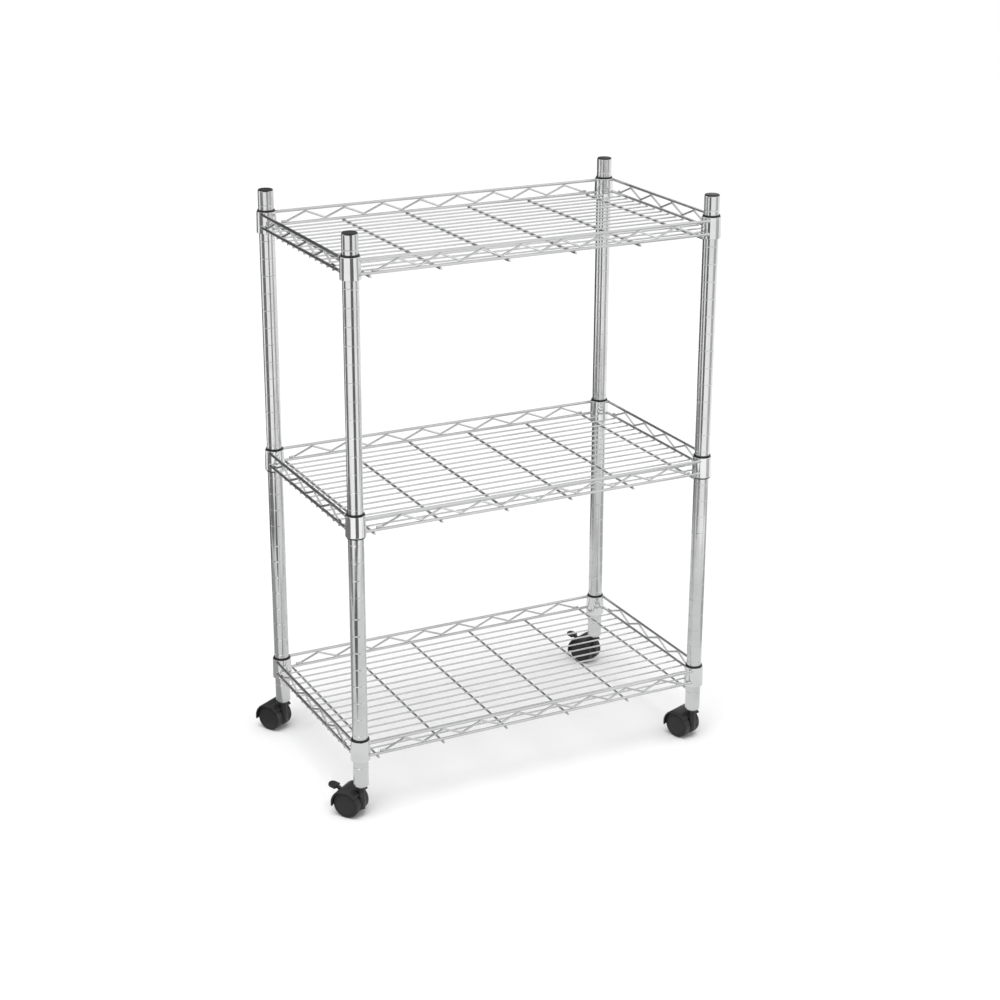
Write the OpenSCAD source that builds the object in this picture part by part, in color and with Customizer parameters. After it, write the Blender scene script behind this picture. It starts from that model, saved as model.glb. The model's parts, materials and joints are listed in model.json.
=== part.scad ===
// Wire shelf cart: three tray shelves of welded wire on four grooved posts, with four
// hooded twin-wheel casters, two of them braked. Sizes are in millimetres, with +X along
// the long side, +Y to the back, +Z up, and the origin on the floor midway between the posts.

/* [Posts] */
// Distance between post axes along the long side
post_spacing_x = 549; // [420:1:800]
// Distance between post axes along the short side
post_spacing_y = 304; // [260:1:420]
// Outside diameter of the post tube
post_d = 22; // [20:0.5:26]
// Wall of the post tube
post_wall = 1.2; // [1:0.1:1.8]
// Length of the lower post section
lower_len = 289; // [240:1:400]
// Length of the upper post section
upper_len = 503; // [490:1:700]
// Distance from one setting groove to the next
groove_pitch = 25.4; // [22:0.1:28]
// Depth of a setting groove
groove_depth = 0.5; // [0.3:0.05:0.7]
// Width of a setting groove at the surface
groove_w = 1.6; // [1:0.1:2.4]
// Height of the lowest groove above the post's lower end
first_groove = 29; // [26:0.5:40]
// Chamfer on each end of a post section
end_chamfer = 0.5; // [0.2:0.1:0.8]
// Length of the connector inside the post, from end to end
connector_len = 50; // [30:1:80]
// Depth of the cap's plug inside the post
cap_plug = 12; // [6:0.5:20]
// Height of the cap's head above the post
cap_h = 2.4; // [1.5:0.1:4]
// Step of the cap's head inside the post's outside
cap_step = 0.4; // [0.2:0.1:0.8]

/* [Shelves] */
// Groove of the lower post section that carries the bottom shelf
bottom_groove = 1; // [1:1:3]
// Groove of the upper post section that carries the middle shelf
middle_groove = 4; // [3:1:9]
// Groove of the upper post section that carries the top shelf
top_groove = 18; // [11:1:18]
// Diameter of the rail wires
rail_d = 4.2; // [3.6:0.1:5]
// Drop from the top of the clip to the side top rails
top_rail_drop = 4.6; // [4:0.1:6]
// Drop from the top rails to the lower rails
rail_gap = 18.7; // [17.5:0.1:21]
// Depth of the side rails' axes inside the collar's outside
side_bite = 2.8; // [2.8:0.1:5]
// Depth of the front and back rails' axes inside the collar's outside
long_bite = 4.3; // [2.8:0.1:5]
// Diameter of the zigzag truss wire
truss_d = 3; // [2.4:0.1:3.6]
// Bend radius of the truss wire at its axis
truss_bend = 4.5; // [3:0.1:4.8]
// Distance from the post axis to the first bend of the truss
truss_end = 33.5; // [26:0.5:40]
// Straight tail at each end of the truss wire
truss_tail = 7; // [4:0.5:9]
// Peaks of the truss along the long side
truss_peaks_x = 8; // [7:1:9]
// Peaks of the truss along the short side
truss_peaks_y = 4; // [3:1:5]
// Diameter of the cross wires
cross_d = 3.5; // [3:0.1:4]
// Number of cross wires on a shelf
cross_count = 6; // [4:1:8]
// Distance from the post axis to the outermost cross wire
cross_inset = 22; // [20:0.5:40]
// Stretch of a cross wire past the rail
cross_tip = 2.5; // [1:0.1:4]
// Diameter of the deck wires
deck_d = 2.4; // [2:0.1:3]
// Number of deck wires on a shelf
deck_count = 15; // [9:1:20]
// Stretch of a deck wire past the side rail's axis
deck_tip = 1.2; // [0:0.1:4]

/* [Collars and clips] */
// Height of the split sleeve clip
clip_h = 33.5; // [30:0.5:38]
// Wall of the clip at its top
clip_top_wall = 1.3; // [1:0.1:1.6]
// Wall of the clip at its bottom
clip_bottom_wall = 1.9; // [1.8:0.1:2.4]
// Draft of the clip's bore, how much its radius grows from top to bottom
clip_draft = 0.1; // [0.05:0.01:0.2]
// Gap between the clip's two halves
clip_split = 0.8; // [0.4:0.1:1.5]
// Drop from the top of the clip to the rib that sits in the groove
rib_drop = 19; // [12:0.5:22]
// Stretch of the clip that stands above the collar
clip_rim = 2.6; // [1:0.1:3]
// Height of the shelf's corner collar
collar_h = 30.5; // [28:0.5:33]
// Wall of the collar
collar_wall = 1.2; // [1:0.1:1.6]

/* [Casters] */
// Height from the floor to the post's lower end
caster_h = 50; // [48:0.5:56]
// Diameter of the wheels
wheel_d = 40; // [36:0.5:42]
// Width of a wheel
wheel_w = 11.5; // [10:0.5:15]
// Gap between the two wheels of a caster
wheel_gap = 11.5; // [11:0.5:16]
// Distance from the stem's axis back to the axle
trail = 17; // [15:0.5:19]
// Diameter of the axle
axle_d = 5; // [4:0.5:6]
// Wall of the hood
hood_wall = 2; // [1.6:0.1:2.4]
// Gap between the wheels and the hood
hood_gap = 1.2; // [0.8:0.1:1.6]
// Depth of the hood's side lips below its inside
hood_lip = 1; // [0.5:0.1:4]
// Thickness of the hood's middle web
web_t = 8.6; // [8:0.1:9.4]
// Diameter of the stem
stem_d = 7; // [6:0.5:8]
// Wall of the hood's column around the stem
column_wall = 1.9; // [1.5:0.1:2]
// Diameter of the stem's flange
flange_d = 15; // [12:0.5:18]
// Thickness of the stem's flange
flange_t = 2.6; // [2:0.1:4]
// Length of the stem above its flange
stem_up = 22; // [16:0.5:26]
// Height of the insert in the post's lower end
insert_h = 26; // [24:0.5:28]
// Turn of the front left caster about its stem
turn_front_left = 37; // [0:1:90]
// Turn of the front right caster about its stem
turn_front_right = 20; // [0:1:90]
// Turn of the back left caster about its stem
turn_back_left = 31; // [0:1:90]
// Turn of the back right caster about its stem
turn_back_right = 27; // [0:1:90]

/* [Brake] */
// Diameter of the brake lever's pin
pin_d = 3; // [2.5:0.1:3.5]
// Thickness of the lever's arm across the web
arm_t = 4.6; // [4:0.1:5]
// Height of the lever's arm
arm_h = 5; // [4:0.1:6]
// Length of the pedal beyond the hood
pedal_len = 14; // [12:0.5:22]
// Width of the pedal
pedal_w = 15; // [12:0.5:18]
// Thickness of the pedal
pedal_t = 3.6; // [2.4:0.1:4]
// Downward travel of the pedal in degrees
pedal_travel = 18; // [10:1:20]

/* [Hidden] */
$fn = 48;

// Clearances
weld_gap = 0.02;
seat_gap = 0.05;
run_gap = 0.05;
swing_gap = 0.3;
eps = 0.1;

// Colours
chrome = [0.78, 0.79, 0.80];
steel = [0.62, 0.63, 0.64];
black = [0.12, 0.12, 0.13];
dark_grey = [0.20, 0.20, 0.21];

// Post levels
post_r = post_d / 2;
bore_r = post_r - post_wall;
plug_r = bore_r - seat_gap;
plug_chamfer = 1;
joint_z = caster_h + lower_len;
post_top = joint_z + upper_len;
rib_z_bottom = caster_h + first_groove + bottom_groove * groove_pitch;
rib_z_middle = joint_z + middle_groove * groove_pitch;
rib_z_top = joint_z + top_groove * groove_pitch;

// Clip and collar radii, both tapered alike
clip_in_r = post_r + seat_gap;
clip_top_r = clip_in_r + clip_top_wall;
clip_bottom_r = clip_in_r + clip_draft + clip_bottom_wall;
clip_taper = (clip_bottom_r - clip_top_r) / clip_h;
collar_top_r = clip_top_r + clip_rim * clip_taper + seat_gap + collar_wall;
collar_bottom_r = collar_top_r + collar_h * clip_taper;

// Wire levels below the top of the clip: the deck wires lie under the side rails and on the
// cross wires, and the front and back rails on the cross wires too, so these rails sit lower
rail_r = rail_d / 2;
truss_r = truss_d / 2;
low_rail_drop = top_rail_drop + rail_gap;
deck_drop = low_rail_drop + rail_r + deck_d / 2 + weld_gap;
cross_drop = deck_drop + deck_d / 2 + cross_d / 2 + weld_gap;
long_step = deck_d + weld_gap;
side_x = post_spacing_x / 2 + collar_top_r - side_bite;
long_y = post_spacing_y / 2 + collar_top_r - long_bite;
truss_rise = rail_gap - rail_d - truss_d - 2 * weld_gap;

// Caster
wheel_r = wheel_d / 2;
axle_r = axle_d / 2;
stem_r = stem_d / 2;
column_r = stem_r + run_gap + column_wall;
hood_in_r = wheel_r + hood_gap;
hood_out_r = hood_in_r + hood_wall;
wheel_in = wheel_gap / 2;
wheel_out = wheel_in + wheel_w;
lip_t = 0.75 * hood_wall;
hood_soft = 0.6 * hood_wall;
hood_half = wheel_out + hood_gap / 2 + lip_t;
hood_back_angle = -12;
hood_front_angle = 138;
axle_boss = 5;
column_drop = 8;
column_top = caster_h - flange_t - swing_gap;
column_bottom = wheel_r - column_drop;

// Wheel: tread edge, dome of the face, ring groove and the wall over the axle's end
wheel_edge = 2;
wheel_dome = 0.8;
ring_r = 0.8 * wheel_r;
ring_half = 1;
ring_depth = 0.7;
hub_wall = 2;

// Brake: the pin's place back of and above the axle, and the lever's shape
pin_u = 11.5;
pin_w = 11.5;
arm_angle = 30;
lever_boss = 1.5;
pedal_start = 12;
pedal_lap = 3;
pedal_angle = 12;

function corner(i) = [i % 2 == 0 ? -post_spacing_x / 2 : post_spacing_x / 2,
                      i < 2 ? -post_spacing_y / 2 : post_spacing_y / 2, 0];
function turn(i) = [turn_front_left, turn_front_right, turn_back_left, turn_back_right][i];

module at_corners() {
  for (i = [0 : 3]) translate(corner(i)) children();
}

// A straight wire between two points on a line along X or Y
module wire_x(d, half, y, z) {
  translate([-half, y, z]) rotate([0, 90, 0]) cylinder(d = d, h = 2 * half);
}

module wire_y(d, half, x, z) {
  translate([x, half, z]) rotate([90, 0, 0]) cylinder(d = d, h = 2 * half);
}

// Outline of a post section from its axis outwards, grooved at the given heights
function groove_points(zs) = [for (z = zs)
  for (p = [[post_r, -groove_w / 2], [post_r - groove_depth, -groove_w / 4],
            [post_r - groove_depth, groove_w / 4], [post_r, groove_w / 2]])
    [p[0], z + p[1]]];

module post_section(len, grooves) {
  rotate_extrude()
    polygon(concat(
      [[bore_r, 0], [post_r - end_chamfer, 0], [post_r, end_chamfer]],
      groove_points(grooves),
      [[post_r, len - end_chamfer], [post_r - end_chamfer, len], [bore_r, len]]));
}

// The lower section keeps a plain stretch below the joint
groove_clear = groove_w + end_chamfer;
joint_plain = 8;
lower_grooves = [for (z = [first_groove : groove_pitch : lower_len - groove_clear - joint_plain]) z];
upper_grooves = [for (z = [groove_pitch : groove_pitch : upper_len - groove_clear]) z];

module post_lower(i) {
  color(chrome) translate(corner(i) + [0, 0, caster_h]) post_section(lower_len, lower_grooves);
}

module post_upper(i) {
  color(chrome) translate(corner(i) + [0, 0, joint_z]) post_section(upper_len, upper_grooves);
}

module post_connectors() {
  color(steel) at_corners() translate([0, 0, joint_z - connector_len / 2])
    rotate_extrude()
      polygon([[0, 0], [plug_r - plug_chamfer, 0], [plug_r, plug_chamfer],
               [plug_r, connector_len - plug_chamfer], [plug_r - plug_chamfer, connector_len],
               [0, connector_len]]);
}

module post_caps() {
  head_r = post_r - cap_step;
  color(black) at_corners() translate([0, 0, post_top])
    rotate_extrude()
      polygon([[0, -cap_plug], [plug_r - plug_chamfer, -cap_plug], [plug_r, plug_chamfer - cap_plug],
               [plug_r, 0],
               [head_r, 0], [head_r, cap_h * 0.45], [head_r - cap_h * 0.2, cap_h * 0.75],
               [head_r - cap_h * 0.7, cap_h * 0.95], [0, cap_h]]);
}

// Radius of the clip's bore at a drop below its top
function clip_bore_r(drop) = clip_in_r + clip_draft * drop / clip_h;

// Split sleeve clips, two halves round each post, with a rib in the post's groove
module clip_half() {
  rib_r = post_r - groove_depth + seat_gap;
  rib_half = groove_w / 4 - seat_gap / 2;
  rib_top = rib_drop - 2 * rib_half;
  rib_foot = rib_drop + 2 * rib_half;
  intersection() {
    rotate_extrude()
      polygon([[clip_bore_r(clip_h), -clip_h], [clip_bottom_r, -clip_h], [clip_top_r, 0], [clip_in_r, 0],
               [clip_bore_r(rib_top), -rib_top], [rib_r, -rib_drop + rib_half],
               [rib_r, -rib_drop - rib_half], [clip_bore_r(rib_foot), -rib_foot]]);
    translate([-post_d, clip_split / 2, -clip_h - eps]) cube([2 * post_d, post_d, clip_h + 2 * eps]);
  }
}

module sleeve_clips(rib_z) {
  color(black) at_corners() translate([0, 0, rib_z + rib_drop]) {
    clip_half();
    rotate([0, 0, 180]) clip_half();
  }
}

// The collar's outside, carried on past both ends, for coping the wires that meet it
module collar_cope() {
  past = 2 * rail_d;
  grow = past * clip_taper;
  translate([0, 0, -clip_rim - collar_h - past])
    cylinder(r1 = collar_bottom_r + grow + weld_gap, r2 = collar_top_r - grow + weld_gap,
             h = collar_h + 2 * past);
}

// Tapered corner collars that wedge down on the clips
module shelf_collars(rib_z) {
  color(chrome) at_corners() translate([0, 0, rib_z + rib_drop])
    translate([0, 0, -clip_rim - collar_h])
      rotate_extrude()
        polygon([[collar_bottom_r - collar_wall, 0], [collar_bottom_r, 0],
                 [collar_top_r, collar_h], [collar_top_r - collar_wall, collar_h]]);
}

// Four rails of the top or the lower level, their ends coped to the collars
module rails(rib_z, drop) {
  z = rib_z + rib_drop;
  color(chrome) difference() {
    union() {
      for (s = [-1, 1]) {
        wire_x(rail_d, post_spacing_x / 2, s * long_y, z - drop - long_step);
        wire_y(rail_d, post_spacing_y / 2, s * side_x, z - drop);
      }
    }
    at_corners() translate([0, 0, z]) collar_cope();
  }
}

// Zigzag wire in the X-Z plane: round bends joined by straight legs, which are a hair
// thinner and run a little way into the bends
module truss(span, peaks) {
  half_pitch = (span - 2 * truss_end) / peaks / 2;
  centre_rise = truss_rise - 2 * truss_bend;
  centre_dist = norm([half_pitch, centre_rise]);
  slope = asin(2 * truss_bend / centre_dist) + atan2(centre_rise, half_pitch);
  leg = sqrt(centre_dist * centre_dist - 4 * truss_bend * truss_bend);
  leg_r = truss_r - weld_gap;
  lap = 0.8 * sqrt(2 * truss_bend * weld_gap);
  for (k = [0 : 2 * peaks]) {
    up = k % 2 == 1;
    first = k == 0;
    last = k == 2 * peaks;
    middle = up ? 90 : -90;
    start = first ? middle : middle - slope;
    sweep = first || last ? slope : 2 * slope;
    x = -span / 2 + truss_end + k * half_pitch;
    z = up ? truss_rise - truss_bend : truss_bend;
    translate([x, 0, z]) rotate([90, 0, 0]) {
      rotate([0, 0, start])
        rotate_extrude(angle = sweep) translate([truss_bend, 0]) circle(r = truss_r);
      if (!last)
        rotate([0, 0, up ? middle - slope : middle + slope])
          translate([truss_bend, up ? lap : -lap, 0])
            rotate([up ? 90 : -90, 0, 0]) cylinder(r = leg_r, h = leg + 2 * lap);
    }
    if (first) translate([x + lap, 0, 0]) rotate([0, -90, 0]) cylinder(r = leg_r, h = truss_tail + lap);
    if (last) translate([x - lap, 0, 0]) rotate([0, 90, 0]) cylinder(r = leg_r, h = truss_tail + lap);
  }
}

module shelf_truss(rib_z) {
  z = rib_z + rib_drop - low_rail_drop + rail_r + truss_r + weld_gap;
  color(chrome) for (s = [-1, 1]) {
    translate([0, s * long_y, z - long_step]) truss(post_spacing_x, truss_peaks_x);
    translate([s * side_x, 0, z]) rotate([0, 0, 90]) truss(post_spacing_y, truss_peaks_y);
  }
}

// Cross wires under the front and back lower rails, with short tips past them
module shelf_cross_wires(rib_z) {
  half = long_y + rail_r + cross_tip;
  first_x = -post_spacing_x / 2 + cross_inset;
  step = (post_spacing_x - 2 * cross_inset) / (cross_count - 1);
  color(chrome) for (k = [0 : cross_count - 1])
    wire_y(cross_d, half, first_x + k * step, rib_z + rib_drop - cross_drop);
}

// Deck wires on the cross wires and under the side rails, evenly spaced between the front and
// back rails; those that meet the collars are coped to them
module shelf_deck_wires(rib_z) {
  step = 2 * long_y / (deck_count + 1);
  z = rib_z + rib_drop;
  color(chrome) for (k = [1 : deck_count]) {
    y = -long_y + k * step;
    near = post_spacing_y / 2 - abs(y) < collar_bottom_r + deck_d;
    if (near) difference() {
      wire_x(deck_d, post_spacing_x / 2, y, z - deck_drop);
      at_corners() translate([0, 0, z]) collar_cope();
    }
    else wire_x(deck_d, side_x + deck_tip, y, z - deck_drop);
  }
}

// Caster pieces, with the stem's axis on Z and the wheels trailing towards +Y
module at_caster(i) {
  translate(corner(i)) rotate([0, 0, turn(i)]) children();
}

// Axle frame: X back from the axle, Y up, Z along the axle
module on_axle() {
  translate([0, trail, wheel_r]) rotate([90, 0, 90]) children();
}

module on_pin() {
  on_axle() translate([pin_u, pin_w, 0]) children();
}

module caster_inserts() {
  color(steel) at_corners() translate([0, 0, caster_h]) difference() {
    cylinder(r = plug_r, h = insert_h);
    translate([0, 0, -eps]) cylinder(r = stem_r + seat_gap, h = stem_up + seat_gap + eps);
  }
}

module caster_stems() {
  color(steel) at_corners() {
    translate([0, 0, column_bottom]) cylinder(r = stem_r, h = caster_h + stem_up - column_bottom);
    translate([0, 0, caster_h - flange_t]) cylinder(d = flange_d, h = flange_t);
  }
}

module hood_shell() {
  lip_r = hood_in_r - hood_lip;
  on_axle() rotate([0, 0, hood_back_angle])
    rotate_extrude(angle = hood_front_angle - hood_back_angle)
      polygon([[lip_r, -hood_half], [hood_out_r - hood_soft, -hood_half],
               [hood_out_r, hood_soft - hood_half], [hood_out_r, hood_half - hood_soft],
               [hood_out_r - hood_soft, hood_half], [lip_r, hood_half],
               [lip_r, hood_half - lip_t], [hood_in_r, hood_half - lip_t],
               [hood_in_r, lip_t - hood_half], [lip_r, lip_t - hood_half]]);
}

// Middle web between the wheels, cut away below the axle's boss
module hood_web() {
  boss_r = axle_r + axle_boss;
  on_axle() translate([0, 0, -web_t / 2]) linear_extrude(web_t) difference() {
    circle(r = hood_in_r + hood_wall / 2);
    translate([-2 * hood_out_r, -boss_r - 2 * hood_out_r]) square([4 * hood_out_r, 2 * hood_out_r]);
  }
}

module brake_opening() {
  half_h = arm_h / 2 + swing_gap;
  drop = sin(pedal_travel) * (hood_out_r - norm([pin_u, pin_w]) + arm_h * 2);
  on_pin() translate([0, 0, -arm_t / 2 - swing_gap]) linear_extrude(arm_t + 2 * swing_gap) {
    circle(r = arm_h / 2 + lever_boss + swing_gap);
    rotate([0, 0, arm_angle]) translate([0, -half_h - drop]) square([hood_out_r, 2 * half_h + drop]);
  }
}

module hood(i, braked) {
  color(black) at_caster(i) difference() {
    union() {
      hood_shell();
      hood_web();
      translate([0, 0, column_bottom]) cylinder(r = column_r, h = column_top - column_bottom);
    }
    translate([0, 0, -eps]) cylinder(r = stem_r + run_gap, h = caster_h);
    on_axle() translate([0, 0, -hood_half]) cylinder(r = axle_r + weld_gap, h = 2 * hood_half);
    if (braked) {
      brake_opening();
      on_pin() translate([0, 0, -web_t]) cylinder(r = pin_d / 2 + weld_gap, h = 2 * web_t);
    }
    translate([0, 0, column_top]) cylinder(r = flange_d / 2 + swing_gap, h = caster_h);
    translate([0, 0, caster_h - swing_gap]) cylinder(r = post_r + swing_gap, h = caster_h);
  }
}

module axle(i) {
  half = wheel_out - hub_wall;
  color(steel) at_caster(i) on_axle() translate([0, 0, -half]) cylinder(r = axle_r, h = 2 * half);
}

// One wheel: rounded tread, a shallow ring groove and a gently domed face
module wheel(i, side) {
  face = wheel_w - wheel_dome;
  rim_r = wheel_r - wheel_edge;
  color(dark_grey) at_caster(i) on_axle() mirror([0, 0, side < 0 ? 1 : 0]) translate([0, 0, wheel_in])
    difference() {
      rotate_extrude()
        polygon(concat(
          [[0, 0], [rim_r, 0]],
          [for (a = [15 : 15 : 75]) [rim_r + wheel_edge * sin(a), wheel_edge * (1 - cos(a))]],
          [[wheel_r, wheel_edge], [wheel_r, face - wheel_edge]],
          [for (a = [15 : 15 : 90]) [rim_r + wheel_edge * cos(a), face - wheel_edge * (1 - sin(a))]],
          [[ring_r + ring_half, face], [ring_r + ring_half / 2, face - ring_depth],
           [ring_r - ring_half / 2, face - ring_depth], [ring_r - ring_half, face]],
          [for (t = [0.75 : -0.25 : 0]) [(ring_r - ring_half) * t, wheel_w - wheel_dome * t * t]]));
      translate([0, 0, -eps]) cylinder(r = axle_r + run_gap, h = wheel_w - hub_wall + run_gap + eps);
    }
}

module brake_pin(i) {
  color(steel) at_caster(i) on_pin() translate([0, 0, -web_t / 2]) cylinder(d = pin_d, h = web_t);
}

// Brake lever: a boss on the pin, an arm through the hood and a foot pedal
module brake_lever(i) {
  boss_r = arm_h / 2 + lever_boss;
  color(black) at_caster(i) on_pin() difference() {
    union() {
      translate([0, 0, -arm_t / 2]) linear_extrude(arm_t) {
        circle(r = boss_r);
        rotate([0, 0, arm_angle]) translate([0, -arm_h / 2]) square([pedal_start + pedal_lap, arm_h]);
      }
      rotate([0, 0, arm_angle]) translate([pedal_start, 0, 0]) rotate([0, 0, pedal_angle - arm_angle])
        rotate([-90, 0, 0]) translate([0, 0, -pedal_t / 2]) linear_extrude(pedal_t) {
          translate([0, -pedal_w / 2]) square([pedal_len - pedal_w / 3, pedal_w]);
          translate([pedal_len - pedal_w / 2, 0]) circle(d = pedal_w);
        }
    }
    translate([0, 0, -arm_t]) cylinder(r = pin_d / 2 + run_gap, h = 2 * arm_t);
  }
}

post_lower(0);  // post_lower_front_left
post_lower(1);  // post_lower_front_right
post_lower(2);  // post_lower_back_left
post_lower(3);  // post_lower_back_right
post_upper(0);  // post_upper_front_left
post_upper(1);  // post_upper_front_right
post_upper(2);  // post_upper_back_left
post_upper(3);  // post_upper_back_right
post_connectors();
post_caps();
shelf_collars(rib_z_bottom);  // shelf_bottom_collars
rails(rib_z_bottom, top_rail_drop);  // shelf_bottom_top_rails
rails(rib_z_bottom, low_rail_drop);  // shelf_bottom_lower_rails
shelf_truss(rib_z_bottom);  // shelf_bottom_truss
shelf_cross_wires(rib_z_bottom);  // shelf_bottom_cross_wires
shelf_deck_wires(rib_z_bottom);  // shelf_bottom_deck_wires
shelf_collars(rib_z_middle);  // shelf_middle_collars
rails(rib_z_middle, top_rail_drop);  // shelf_middle_top_rails
rails(rib_z_middle, low_rail_drop);  // shelf_middle_lower_rails
shelf_truss(rib_z_middle);  // shelf_middle_truss
shelf_cross_wires(rib_z_middle);  // shelf_middle_cross_wires
shelf_deck_wires(rib_z_middle);  // shelf_middle_deck_wires
shelf_collars(rib_z_top);  // shelf_top_collars
rails(rib_z_top, top_rail_drop);  // shelf_top_top_rails
rails(rib_z_top, low_rail_drop);  // shelf_top_lower_rails
shelf_truss(rib_z_top);  // shelf_top_truss
shelf_cross_wires(rib_z_top);  // shelf_top_cross_wires
shelf_deck_wires(rib_z_top);  // shelf_top_deck_wires
sleeve_clips(rib_z_bottom);  // sleeve_clips_bottom
sleeve_clips(rib_z_middle);  // sleeve_clips_middle
sleeve_clips(rib_z_top);  // sleeve_clips_top
caster_inserts();
caster_stems();
hood(0, true);  // hood_front_left
axle(0);  // axle_front_left
wheel(0, -1);  // wheel_left_front_left
wheel(0, 1);  // wheel_right_front_left
hood(1, false);  // hood_front_right
axle(1);  // axle_front_right
wheel(1, -1);  // wheel_left_front_right
wheel(1, 1);  // wheel_right_front_right
hood(2, false);  // hood_back_left
axle(2);  // axle_back_left
wheel(2, -1);  // wheel_left_back_left
wheel(2, 1);  // wheel_right_back_left
hood(3, true);  // hood_back_right
axle(3);  // axle_back_right
wheel(3, -1);  // wheel_left_back_right
wheel(3, 1);  // wheel_right_back_right
brake_pin(0);  // brake_pin_front_left
brake_lever(0);  // brake_lever_front_left
brake_pin(3);  // brake_pin_back_right
brake_lever(3);  // brake_lever_back_right
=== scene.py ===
import json
import math

import bmesh
import bpy
from mathutils import Matrix, Vector


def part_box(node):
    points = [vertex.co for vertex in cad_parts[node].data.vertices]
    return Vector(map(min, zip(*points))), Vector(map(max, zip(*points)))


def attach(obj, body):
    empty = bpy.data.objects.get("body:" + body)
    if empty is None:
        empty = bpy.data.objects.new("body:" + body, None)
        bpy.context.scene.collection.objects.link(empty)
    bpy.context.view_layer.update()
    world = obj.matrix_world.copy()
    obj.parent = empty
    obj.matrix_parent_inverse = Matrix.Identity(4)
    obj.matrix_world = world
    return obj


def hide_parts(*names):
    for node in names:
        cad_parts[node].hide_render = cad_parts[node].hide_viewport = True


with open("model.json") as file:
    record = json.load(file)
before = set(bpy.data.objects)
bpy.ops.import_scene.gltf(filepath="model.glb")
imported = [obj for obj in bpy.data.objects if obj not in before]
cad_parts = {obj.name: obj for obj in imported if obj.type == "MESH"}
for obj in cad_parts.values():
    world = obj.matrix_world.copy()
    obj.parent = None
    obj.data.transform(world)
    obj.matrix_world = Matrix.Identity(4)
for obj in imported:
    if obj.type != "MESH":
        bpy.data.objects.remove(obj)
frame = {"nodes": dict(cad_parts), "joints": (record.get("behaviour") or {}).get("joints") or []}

scene = bpy.context.scene
scene.view_settings.view_transform = "Standard"
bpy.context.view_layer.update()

mm = 0.001
hair = 0.1 * mm  # slack when corners are picked by their place
places = ("front_left", "front_right", "back_left", "back_right")
levels = ("bottom", "middle", "top")


# camera
cameraSet = {
    "place": (-1.2525, -2.5010, 1.4174),
    "yaw": 26.98,
    "pitch": 19.45,
    "roll": 0.245,
    "lens": 72.59,
    "sensor": 36.0,
    "lift": -0.03,
}

lens = bpy.data.cameras.new("camera")
lens.lens = cameraSet["lens"]
lens.sensor_width = cameraSet["sensor"]
lens.shift_y = cameraSet["lift"]
camera = bpy.data.objects.new("camera", lens)
scene.collection.objects.link(camera)
camera.matrix_world = (
    Matrix.Translation(cameraSet["place"])
    @ Matrix.Rotation(math.radians(-cameraSet["yaw"]), 4, "Z")
    @ Matrix.Rotation(math.radians(90 - cameraSet["pitch"]), 4, "X")
    @ Matrix.Rotation(math.radians(cameraSet["roll"]), 4, "Z")
)
scene.camera = camera
print("camera placed")


# finishes
class Flow:  # one socket, so that shader sums read as sums
    def __init__(self, tree, socket=None):
        self.tree = tree
        self.socket = socket

    def add(self, kind, settings=None, inputs=None, output=0):
        made = self.tree.nodes.new(kind)
        for key, value in (settings or {}).items():
            setattr(made, key, value)
        for key, value in (inputs or {}).items():
            if isinstance(value, Flow):
                self.tree.links.new(value.socket, made.inputs[key])
            else:
                made.inputs[key].default_value = value
        return Flow(self.tree, made.outputs[output] if made.outputs else None)

    def maths(self, operation, first, second=0.0):
        return self.add("ShaderNodeMath", {"operation": operation}, {0: first, 1: second})

    def __add__(self, other):
        return self.maths("ADD", self, other)

    def __radd__(self, other):
        return self.maths("ADD", other, self)

    def __sub__(self, other):
        return self.maths("SUBTRACT", self, other)

    def __rsub__(self, other):
        return self.maths("SUBTRACT", other, self)

    def __mul__(self, other):
        return self.maths("MULTIPLY", self, other)

    def __rmul__(self, other):
        return self.maths("MULTIPLY", other, self)

    def __truediv__(self, other):
        return self.maths("DIVIDE", self, other)

    def __rtruediv__(self, other):
        return self.maths("DIVIDE", other, self)

    def __abs__(self):
        return self.maths("ABSOLUTE", self)

    def spot(self):  # the place on the piece
        return self.add("ShaderNodeTexCoord", None, None, "Object")

    def step(self, low, high, first=0.0, last=1.0):  # soft step from low to high
        return self.add(
            "ShaderNodeMapRange",
            {"interpolation_type": "SMOOTHSTEP"},
            {"Value": self, "From Min": low, "From Max": high, "To Min": first, "To Max": last},
        )

    def noise(self, scale, detail):
        return self.add("ShaderNodeTexNoise", None, {"Vector": self, "Scale": scale, "Detail": detail})

    def streaks(self, stretch):  # noise with its own scale along each axis
        return self.add("ShaderNodeMapping", None, {"Vector": self, "Scale": stretch}).noise(1.0, 3.0)

    def blend(self, first, second):  # two colours, with this value as the share of the second
        ends = [end if isinstance(end, Flow) else (*end, 1.0) for end in (first, second)]
        return self.add("ShaderNodeMix", {"data_type": "RGBA"}, {0: self, 6: ends[0], 7: ends[1]}, 2)

    def bump(self, strength, deep):
        return self.add("ShaderNodeBump", None, {"Strength": strength, "Distance": deep, "Height": self})


def startFinish(name):
    finish = bpy.data.materials.new(name)
    finish.use_nodes = True
    finish.node_tree.nodes.clear()
    return finish, Flow(finish.node_tree)


def endFinish(flow, shader):
    flow.add("ShaderNodeOutputMaterial", None, {"Surface": shader})


grooveSet = {"pitch": 25.4 * mm, "lowerFirst": 79 * mm, "upperFirst": 339 * mm}

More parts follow.
